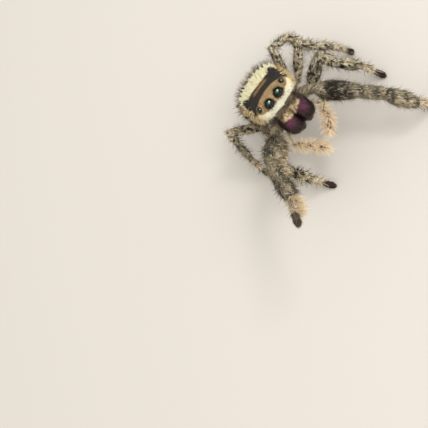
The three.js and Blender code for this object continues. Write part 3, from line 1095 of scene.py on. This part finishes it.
class SPIDER_OT_body_coat(bpy.types.Operator):
    """Lay hair over the abdomen, the spinnerets, the waist and the underside"""

    bl_idname = "spider.body_coat"
    bl_label = "Body coat"

    def execute(self, context):
        coat = context.scene.spider_coat
        c = palette()
        rng = np.random.default_rng(51)
        material = coat_material("spider_body_hair", 0.62, 0.12)
        hind = Tufts("coat_abdomen", rng)
        roots, normals, _ = roots_on(["abdomen"], how_many(10500), seed=52)
        x, share, z = abdomen_space(roots)
        places = np.stack([np.arctan2(x, z) / (2 * math.pi) + 0.5, share], 1).clip(0.01, 0.99)
        back = np.tile(ABDOMEN_AXES @ np.array([0.0, 1.0, 0.0]), (len(roots), 1))
        hind.add(roots, normals, back, places, markings(roots, "abdomen"),
                 size=coat.abdomen_length, thick=0.065 * MM, lift=20, jitter=0.22)
        few = how_many(700)
        hind.add(roots[:few], normals[:few], back[:few], places[:few], np.tile(c["soot"], (few, 1)),
                 size=coat.bristle_length * 0.8, thick=0.035 * MM, lift=40, bands=2)
        hind.build(material, "abdomen_hair")

        under = Tufts("coat_underside", rng)
        roots, normals, _ = roots_on(["breast_plate", "waist", "spinnerets"], how_many(5400), seed=53)
        x, y, z = head_space(roots).T
        bushy = 1 + 0.8 * ramp(1.2, 1.9, np.abs(x))
        under.add(roots, normals, head_vectors(x, 0.4 * (y - 3.0), -0.3), belly_map(x, y),
                  markings(roots, "breast_plate"), size=0.32 * MM * bushy, thick=0.05 * MM, lift=26)

        def front_coxae(points, normals):
            x, y, _ = head_space(points).T
            return (np.abs(x) > 1.2) * (1 - ramp(1.4, 2.4, y))

        roots, normals, _ = roots_on(["breast_plate"], how_many(900), seed=54, where=front_coxae)
        x, y, z = head_space(roots).T
        colours = mixed(c["chalk"], c["slate"], rng.random(len(roots)))
        under.add(roots, normals, head_vectors(x, -0.6, -0.2), belly_map(x, y), colours,
                  size=0.5 * MM, thick=0.05 * MM, lift=30, bands=2, jitter=0.4)
        under.build(material, "grey_hair")
        return {"FINISHED"}


# ---- coat of the feelers -------------------------------------------------------------------
def limb_roots(node, amount, seed, where=None, strip=None):
    """Roots on one limb: points, normals, share of its length, its direction, map places.

    A leg part has its own strip of the leg's map, and a feeler has the whole map.
    """
    roots, normals, _ = roots_on([node], how_many(amount), seed=seed, where=where)
    share, direction, outward = GUIDES[node].read(roots)
    angle = angle_round(direction, outward)
    places = tube_map(share, angle) if strip is None else tube_map(share, angle, strip, len(PARTS))
    return roots, normals, share, direction, places


class SPIDER_OT_feeler_coat(bpy.types.Operator):
    """Set the bottle brush of pale bristles on the feelers"""

    bl_idname = "spider.feeler_coat"
    bl_label = "Feeler coat"

    def execute(self, context):
        material = coat_material("spider_feeler_hair", 0.5, 0.45)
        for index, side in enumerate(SIDES):
            brush = self.brush(context.scene.spider_coat, f"palp_{side}", side, index)
            brush.build(material, "peach_hair")
        return {"FINISHED"}

    def brush(self, coat, node, side, index):
        c = palette()
        brush = Tufts(f"coat_feeler_{side}", np.random.default_rng(61 + index))
        roots, normals, _, direction, places = limb_roots(node, 1800, seed=63 + index)
        colours = blend_in(markings(roots, node), c["olive"], np.full(len(roots), 0.25))
        colours = blend_in(colours, c["soot"], 0.9 * ramp(0.35, 0.55, blotches(roots, 0.22 * MM, 16)))
        brush.add(roots, normals, direction, places, colours, size=0.2 * MM, thick=0.05 * MM, lift=26)
        for amount, reach, wide, lift, seed in ((330, 1.2, 0.11, 78, 65), (150, 1.35, 0.09, 52, 67)):
            roots, normals, share, direction, places = limb_roots(node, amount, seed=seed + index)
            colours = blend_in(markings(roots, node), c["peach"], 0.9 * ramp(0.15, 0.35, share))
            size = coat.feeler_length * reach * (0.55 + 0.45 * ramp(0.15, 0.45, share))
            brush.add(roots, normals, direction, places, colours, size=size, thick=wide * MM,
                      lift=lift, curl=0.2, bands=3, jitter=0.3, vary=0.08, flat=0.5, root=1.0, tip=1.2)

        # paler bristles near the base
        def near_base(points, normals):
            return bump(0.2, 0.16, GUIDES[node].read(points)[0])

        roots, normals, _, direction, places = limb_roots(node, 110, seed=69 + index, where=near_base)
        pale = np.tile(c["ivory"], (len(roots), 1))
        brush.add(roots, normals, direction, places, pale, size=coat.feeler_length * 0.8, thick=0.08 * MM,
                  lift=60, curl=0.2, bands=3, jitter=0.3, vary=0.1, flat=0.5, root=0.9, tip=1.1)
        return brush


# ---- coat of the legs ----------------------------------------------------------------------
class SPIDER_OT_leg_coats(bpy.types.Operator):
    """Lay the mottled hair and the fine bristles of the eight legs"""

    bl_idname = "spider.leg_coats"
    bl_label = "Leg coats"

    def execute(self, context):
        material = coat_material("spider_leg_hair", 0.6, 0.05)
        for index, leg in enumerate(LEGS):
            self.one_leg(context.scene.spider_coat, leg, index, material)
        return {"FINISHED"}

    def one_leg(self, coat, leg, index, material):
        c = palette()
        rng = np.random.default_rng(100 + index)
        foreleg = leg.startswith("leg1")
        bushy = 1.6 if foreleg else 1.0
        tufts = Tufts(f"coat_{leg}", rng)
        for strip, part in enumerate(PARTS):
            node = f"{leg}_{part}"
            amount = (3000 if part == "femur" else 2100) * (1.02 if foreleg else 0.68)
            amount *= {"metatarsus": 0.55, "tarsus": 0.7}.get(part, 1)
            roots, normals, _, direction, places = limb_roots(
                node, amount, seed=200 + 10 * index + strip, strip=strip
            )
            size = coat.leg_length * bushy * {"metatarsus": 0.8, "tarsus": 0.5}.get(part, 1)
            colours = markings(roots, node)
            if part != "tarsus":  # dark and pale hairs among the rest
                pick = rng.random(len(roots))
                solid = 1 - 0.8 * (colours.mean(1) < 0.06)
                colours = blend_in(colours, c["soot"], 0.8 * (pick < (0.24 if foreleg else 0.13)))
                colours = blend_in(colours, c["chalk"], 0.75 * solid * (pick > 0.84))
            tufts.add(roots, normals, direction, places, colours, size=size, thick=0.062 * MM,
                      lift=16 if part == "tarsus" else 25, vary=0.32, jitter=0.28)
            shaggy = slice(0, how_many(amount * (0.14 if foreleg else 0.05)))
            tufts.add(roots[shaggy], normals[shaggy], direction[shaggy], places[shaggy],
                      markings(roots[shaggy], node), size=size * 1.7, thick=0.045 * MM, lift=40, bands=2)
            self.bristles(tufts, coat, c, leg, part, strip, 400 + 10 * index + strip)
        self.foot(tufts, c, leg, 600 + index)
        if leg == "leg1_right":
            self.streamers(tufts, coat, c, leg)
        tufts.build(material, "grey_hair")

    def bristles(self, tufts, coat, c, leg, part, strip, seed):
        """Fine hairs that stand out from one part of a leg."""
        amount = {"femur": 190, "patella": 130, "tibia": 190, "metatarsus": 110, "tarsus": 30}[part]
        roots, normals, _, direction, places = limb_roots(
            f"{leg}_{part}", amount, seed=seed, strip=strip
        )
        dark = tufts.rng.random(len(roots)) < (0.45 if part == "metatarsus" else 0.7)
        colours = np.where(dark[:, None], c["soot"], c["beige"])
        tufts.add(roots, normals, direction, places, colours,
                  size=coat.bristle_length * (0.5 if part == "tarsus" else 1), thick=0.03 * MM,
                  lift=58, curl=0.15, bands=2)

    def foot(self, tufts, c, leg, seed):
        """The dense dark brush that rounds the tip of a foot."""
        node = f"{leg}_tarsus"

        def far_end(points, normals):
            return ramp(0.45, 0.7, GUIDES[node].read(points)[0])

        roots, normals, _, direction, places = limb_roots(
            node, 420, seed=seed, where=far_end, strip=PARTS.index("tarsus")
        )
        colours = mixed(c["boot"], c["soot"], tufts.rng.random(len(roots)))
        tufts.add(roots, normals, direction, places, colours,
                  size=0.22 * MM, thick=0.05 * MM, lift=38, curl=0.4)

    def streamers(self, tufts, coat, c, leg):
        """Long pale hair that streams from the raised foreleg."""
        streaming = np.array([0.59, -0.7, -0.4])
        plan = ((0, 190, 1.0, 0.2), (1, 220, 0.9, 0.0), (3, 330, 1.65, -0.6))
        for strip, amount, reach, facing in plan:

            def outer_side(points, normals, least=facing):
                return (normals @ streaming > least) * 1.0

            roots, normals, _, direction, places = limb_roots(
                f"{leg}_{PARTS[strip]}", amount, seed=500 + strip, where=outer_side, strip=strip
            )
            colours = mixed(c["peach"], c["beige"], tufts.rng.random(len(roots)))
            tufts.add(roots, normals, direction * 0.6 + streaming, places, colours,
                      size=coat.bristle_length * reach, thick=0.045 * MM, lift=46, curl=0.15, bands=3,
                      jitter=0.22, vary=0.12)


# ---- eyes, jaws and claws ------------------------------------------------------------------
class SPIDER_OT_eyes(bpy.types.Operator):
    """Set a polished lens in each of the eight sockets"""

    bl_idname = "spider.eyes"
    bl_label = "Eyes"

    def execute(self, context):
        c = palette()
        for row, (x, y, z) in zip(EYE_ROWS, OUTLOOKS):
            for side, sign in zip(SIDES, (1, -1)):
                centre, radius = eye_place(row, side)
                bpy.ops.object.select_all(action="DESELECT")
                bpy.ops.mesh.primitive_uv_sphere_add(
                    segments=48, ring_count=24, radius=radius, location=Vector(centre)
                )
                lens = bpy.context.object
                lens.name = lens.data.name = f"lens_{row}_{side}"
                bpy.ops.object.transform_apply(location=True, rotation=True, scale=True)
                look = HEAD_AXES @ unit(np.array([sign * x, y, z]))
                self.shape(lens, Vector(centre), radius, Vector(look))
                # painted reflection: green in the big eyes, dim brown in the others
                glow = c["emerald"] if row == "big_front" else c["umber"] * 0.25
                lens.data.materials.append(lens_material(lens.name, centre, radius, look, glow))
                finish_piece(lens, "eye_lens", f"eye_{row}_{side}")
        return {"FINISHED"}

    def shape(self, lens, centre, radius, look):
        """Bulges the middle of a lens along its outlook and cuts its back flat inside the socket."""
        middle = min(lens.data.vertices, key=lambda v: -(v.co - centre).dot(look)).index
        make_active(lens)
        bpy.ops.object.mode_set(mode="EDIT")
        bpy.ops.mesh.select_mode(type="VERT")
        bpy.ops.mesh.select_all(action="DESELECT")
        bpy.ops.object.mode_set(mode="OBJECT")
        lens.data.vertices[middle].select = True
        bpy.ops.object.mode_set(mode="EDIT")
        bpy.ops.transform.translate(
            value=look * radius * 0.05, use_proportional_edit=True,
            proportional_edit_falloff="SMOOTH", proportional_size=radius * 1.1,
        )
        bpy.ops.mesh.select_all(action="SELECT")
        bpy.ops.mesh.bisect(
            plane_co=centre - look * radius * 0.62, plane_no=look, use_fill=True, clear_inner=True,
            threshold=1e-9,
        )
        bpy.ops.object.mode_set(mode="OBJECT")
        bpy.ops.object.shade_smooth_by_angle(angle=math.radians(40))


class SPIDER_OT_jaws(bpy.types.Operator):
    """Make the two glossy jaws with their fangs and the hair at their base"""

    bl_idname = "spider.jaws"
    bl_label = "Jaws"

    def execute(self, context):
        c = palette()
        horn = horn_material()
        hair = coat_material("spider_jaw_hair", 0.58, 0.15)
        for index, side in enumerate(SIDES):
            sign = 1 if side == "left" else -1
            root = egg(f"jaw_root_{side}", (sign * 0.92, 0.12, -1.72), (0.84, 0.66, 0.42))
            jaw = grown_together(
                [f"jaw_{side}"], f"jaw_shell_{side}", voxel=0.07, swell=0.03, smoothing=9, extras=(root,)
            )
            jaw.data.materials.append(jaw_material(c, side))
            finish_piece(jaw, "jaw_shell", f"jaw_{side}")
            fang = grown_together(
                [f"fang_{side}"], f"fang_horn_{side}", voxel=0.03, swell=0.01, smoothing=4
            )
            fang.data.materials.append(horn)
            finish_piece(fang, "dark_claw", f"fang_{side}")
            self.fringe(jaw, side, index, c, hair)
        self.mouth(horn)
        return {"FINISHED"}

    def mouth(self, horn):
        """The dark mouth parts, which fill the space between the jaws and the breast plate."""
        eggs = [
            egg("mouth", (0, 1.35, -2.5), (1.5, 1.25, 0.78)),
            egg("chin", (0, 1.9, -2.55), (2.15, 0.95, 0.6)),
            egg("lip", (0, -0.05, -4.3), (0.3, 0.3, 0.4)),
        ]
        for sign in (1, -1):
            eggs.append(egg("lobe", (sign * 0.45, 0.95, -3.5), (0.5, 0.42, 0.8)))
            eggs.append(egg("lobe", (sign * 0.42, 0.6, -4.1), (0.46, 0.6, 0.5)))
        mouth = grown_together([], "mouth", voxel=0.07, swell=0.0, smoothing=10, extras=eggs)
        mouth.data.materials.append(horn)
        finish_piece(mouth, "dark_claw")

    def fringe(self, jaw, side, index, c, hair):
        """Pale hair at the inner top of a jaw, and fine dark hair on its lower part."""
        points, normals, triangles = mesh_arrays(jaw.data)
        owner = np.zeros(len(points), int)
        surface = dict(points=points, normals=normals, triangles=triangles, owner=owner)
        rng = np.random.default_rng(81 + index)
        fringe = Tufts(f"coat_jaw_{side}", rng)

        def jaw_map(x, y, z):
            turn = np.arctan2(np.abs(x) - 1.0, -y) / (2 * math.pi) + 0.5
            return np.stack([turn, (z + 5) / 3.5], 1).clip(0.01, 0.99)

        def base_only(spots, facing):
            x, y, z = head_space(spots).T
            patchy = 0.4 + 0.6 * ramp(-0.5, 0.1, blotches(spots, 0.5 * MM, 14))
            upper = ramp(-2.6, -2.3, z - 0.35 * np.abs(x) + 0.15 * blotches(spots, 0.4 * MM, 18))
            inner = 0.12 + 0.88 * (1 - ramp(1.1, 1.45, np.abs(x)))
            return upper * patchy * inner * (y < 0.3)

        roots, facing, _ = roots_on(
            None, how_many(1400), seed=83 + index, where=base_only, surface=surface
        )
        x, y, z = head_space(roots).T
        colours = mixed(c["cheek"], c["olive"], 0.5 * rng.random(len(roots)))
        colours = blend_in(colours, c["soot"], 0.6 * ramp(0.45, 0.75, blotches(roots, 0.3 * MM, 19)))
        shade_line = z + 0.1 * blotches(roots, 0.3 * MM, 23)
        colours = blend_in(colours, c["soot"], 0.7 * ramp(-1.8, -1.55, shade_line))
        colours = blend_in(colours, c["maroon"], ramp(1.15, 1.45, np.abs(x)))
        fringe.add(roots, facing, head_vectors(0, -0.2, -1.0), jaw_map(x, y, z), colours,
                   size=0.27 * MM, thick=0.045 * MM, lift=14, curl=0.2, vary=0.2, jitter=0.25)

        def lower_part(spots, facing):
            return ramp(-2.4, -3.0, head_space(spots)[:, 2])

        roots, facing, _ = roots_on(
            None, how_many(260), seed=85 + index, where=lower_part, surface=surface
        )
        x, y, z = head_space(roots).T
        colours = np.tile(c["maroon"], (len(roots), 1))
        fringe.add(roots, facing, head_vectors(0, -0.2, -1.0), jaw_map(x, y, z), colours,
                   size=0.35 * MM, thick=0.025 * MM, lift=30, curl=0.25, bands=2)
        fringe.build(hair, "peach_hair")


class SPIDER_OT_claws(bpy.types.Operator):
    """Set two small curved claws in the tip of each foot"""

    bl_idname = "spider.claws"
    bl_label = "Claws"

    def execute(self, context):
        horn = horn_material()
        hook = self.hook()
        for leg in LEGS:
            line = GUIDES[f"{leg}_tarsus"].line
            tip = line[-1].copy()
            ahead = unit(line[-1] - line[0])
            if tip[2] < MM:  # a standing foot lays its claws along the floor
                ahead = unit(ahead * (1, 1, 0))
                tip[2] = max(tip[2], 0.13 * MM)
            sideways = unit(np.cross(ahead, (0.0, 0.0, 1.0)))
            above = np.cross(sideways, ahead)
            aim = Matrix((-sideways, above, ahead)).transposed().to_4x4()
            pair = []
            for sign in (1, -1):
                root = tip + ahead * 0.02 * MM + above * 0.06 * MM + sideways * sign * 0.07 * MM
                claw = bpy.data.objects.new(f"claws_{leg}", hook.data.copy())
                bpy.context.scene.collection.objects.link(claw)
                claw.data.transform(Matrix.Translation(root) @ aim)
                pair.append(claw)
            bpy.ops.object.select_all(action="DESELECT")
            for claw in pair:
                claw.select_set(True)
            bpy.context.view_layer.objects.active = pair[0]
            bpy.ops.object.join()
            pair[0].data.materials.append(horn)
            finish_piece(pair[0], "dark_claw")
        bpy.data.objects.remove(hook)
        return {"FINISHED"}

    def hook(self):
        """One claw that runs along +Z, thins and curls towards -Y."""
        bpy.ops.object.select_all(action="DESELECT")
        size, step = 0.036 * MM, 0.055 * MM
        bpy.ops.mesh.primitive_cylinder_add(vertices=8, radius=size, depth=step)
        hook = bpy.context.object
        bpy.ops.object.mode_set(mode="EDIT")
        bpy.ops.mesh.select_mode(type="FACE")
        bpy.ops.mesh.select_all(action="DESELECT")
        bpy.ops.object.mode_set(mode="OBJECT")
        max(hook.data.polygons, key=lambda face: face.center.z).select = True
        bpy.ops.object.mode_set(mode="EDIT")
        tip = Vector((0, 0, step / 2))
        for bend in (0.15, 0.4, 0.7, 1.0):
            move = Vector((0, -bend * step, step))
            tip += move
            bpy.ops.mesh.extrude_region_move(TRANSFORM_OT_translate={"value": move})
            bpy.ops.transform.resize(value=(0.68, 0.68, 0.68), center_override=tip)
        bpy.ops.object.mode_set(mode="OBJECT")
        bpy.ops.object.shade_smooth_by_angle(angle=math.radians(60))
        return hook


# ---- studio --------------------------------------------------------------------------------
class SPIDER_OT_stage(bpy.types.Operator):
    """Set the floor, the soft lights, the even sky and the camera"""

    bl_idname = "spider.stage"
    bl_label = "Studio"

    def execute(self, context):
        studio = context.scene.spider_studio
        self.floor(studio)
        self.sky(studio)
        self.lamp("front", (0.08, -0.12, 0.19), 0.12, studio.front_watts)
        self.lamp("key", (0.085, -0.02, 0.125), 0.04, studio.key_watts)
        self.camera(studio)
        return {"FINISHED"}

    def floor(self, studio):
        bpy.ops.object.select_all(action="DESELECT")
        bpy.ops.mesh.primitive_plane_add(size=3.0, location=(0, 0, 0))
        floor = bpy.context.object
        floor.name = "floor"
        g = Graph("studio_floor")
        paper = g.noise(0.4 * MM, 3)
        pale = opaque(studio.floor)
        base = g.mix(g.spread(paper, 0.3, 0.7, 0.0, 0.04), pale, (0.75, 0.72, 0.68, 1))
        floor.data.materials.append(g.finish(Base_Color=base, Roughness=0.85, Specular_IOR_Level=0.1))

    def sky(self, studio):
        world = bpy.data.worlds.new("studio_sky")
        bpy.context.scene.world = world
        world.use_nodes = True
        tree = world.node_tree
        tree.nodes.clear()
        output = tree.nodes.new("ShaderNodeOutputWorld")
        ray = tree.nodes.new("ShaderNodeLightPath")
        lit, seen = (tree.nodes.new("ShaderNodeBackground") for _ in range(2))
        lit.inputs["Color"].default_value = (1, 0.985, 0.96, 1)
        lit.inputs["Strength"].default_value = studio.sky
        seen.inputs["Color"].default_value = opaque(studio.floor)
        seen.inputs["Strength"].default_value = studio.sky * 1.06
        choose = tree.nodes.new("ShaderNodeMixShader")
        seen_by = ray.outputs["Is Camera Ray"]
        for kind in ("Is Glossy Ray", "Is Transmission Ray"):
            either = tree.nodes.new("ShaderNodeMath")
            either.operation = "MAXIMUM"
            tree.links.new(seen_by, either.inputs[0])
            tree.links.new(ray.outputs[kind], either.inputs[1])
            seen_by = either.outputs[0]
        tree.links.new(seen_by, choose.inputs[0])
        tree.links.new(lit.outputs[0], choose.inputs[1])
        tree.links.new(seen.outputs[0], choose.inputs[2])
        tree.links.new(choose.outputs[0], output.inputs["Surface"])

    def lamp(self, name, place, size, watts):
        bpy.ops.object.select_all(action="DESELECT")
        bpy.ops.object.light_add(type="AREA", location=place)
        lamp = bpy.context.object
        lamp.name = name
        lamp.data.shape = "DISK"
        lamp.data.size = size
        lamp.data.energy = watts
        towards = Vector((0, 0, 0.005)) - Vector(place)
        lamp.rotation_euler = towards.to_track_quat("-Z", "Y").to_euler()

    def camera(self, studio):
        height, roll = studio.camera_height, studio.camera_roll
        across = Vector((1, 0, 0))
        upward = Vector((0, math.sin(height), math.cos(height)))
        back = Vector((0, -math.cos(height), math.sin(height)))
        right = across * math.cos(roll) - upward * math.sin(roll)
        up = across * math.sin(roll) + upward * math.cos(roll)
        basis = Matrix((right, up, back)).transposed()
        scale = 36 / studio.lens
        sight = Vector((studio.eyes_right * scale, studio.eyes_up * scale, -1))
        turn = Vector((0, 0, -1)).rotation_difference(sight).to_matrix()
        data = bpy.data.cameras.new("camera")
        data.lens = studio.lens
        data.sensor_width = 36
        data.clip_start = 0.005
        camera = bpy.data.objects.new("camera", data)
        bpy.context.scene.collection.objects.link(camera)
        place = Vector(EYES_MIDDLE) + back * studio.camera_distance
        camera.matrix_world = Matrix.Translation(place) @ (basis @ turn.transposed()).to_4x4()
        bpy.context.scene.camera = camera


# ---- add-on --------------------------------------------------------------------------------
PIECES = (
    SPIDER_OT_skin, SPIDER_OT_eyes, SPIDER_OT_jaws, SPIDER_OT_face_coat, SPIDER_OT_head_coat,
    SPIDER_OT_body_coat, SPIDER_OT_feeler_coat, SPIDER_OT_leg_coats, SPIDER_OT_claws, SPIDER_OT_stage,
)


class SPIDER_PT_panel(bpy.types.Panel):
    """Lists the steps that make the spider."""

    bl_idname = "SPIDER_PT_panel"
    bl_label = "Jumping Spider"
    bl_space_type = "VIEW_3D"
    bl_region_type = "UI"
    bl_category = "Spider"

    def draw(self, context):
        for piece in PIECES:
            self.layout.operator(piece.bl_idname)
        scene = context.scene
        for settings in (scene.spider_colours, scene.spider_coat, scene.spider_studio):
            box = self.layout.box()
            for key in settings.__annotations__:
                box.prop(settings, key)


CLASSES = (SpiderColours, SpiderCoat, SpiderStudio, *PIECES, SPIDER_PT_panel)


def register():
    for item in CLASSES:
        bpy.utils.register_class(item)
    bpy.types.Scene.spider_colours = PointerProperty(type=SpiderColours)
    bpy.types.Scene.spider_coat = PointerProperty(type=SpiderCoat)
    bpy.types.Scene.spider_studio = PointerProperty(type=SpiderStudio)


def unregister():
    del bpy.types.Scene.spider_studio
    del bpy.types.Scene.spider_coat
    del bpy.types.Scene.spider_colours
    for item in reversed(CLASSES):
        bpy.utils.unregister_class(item)


def main():
    register()
    bpy.context.scene.view_settings.view_transform = "Standard"
    for piece in PIECES:
        group, name = piece.bl_idname.split(".")
        getattr(getattr(bpy.ops, group), name)()


if __name__ == "__main__":
    main()
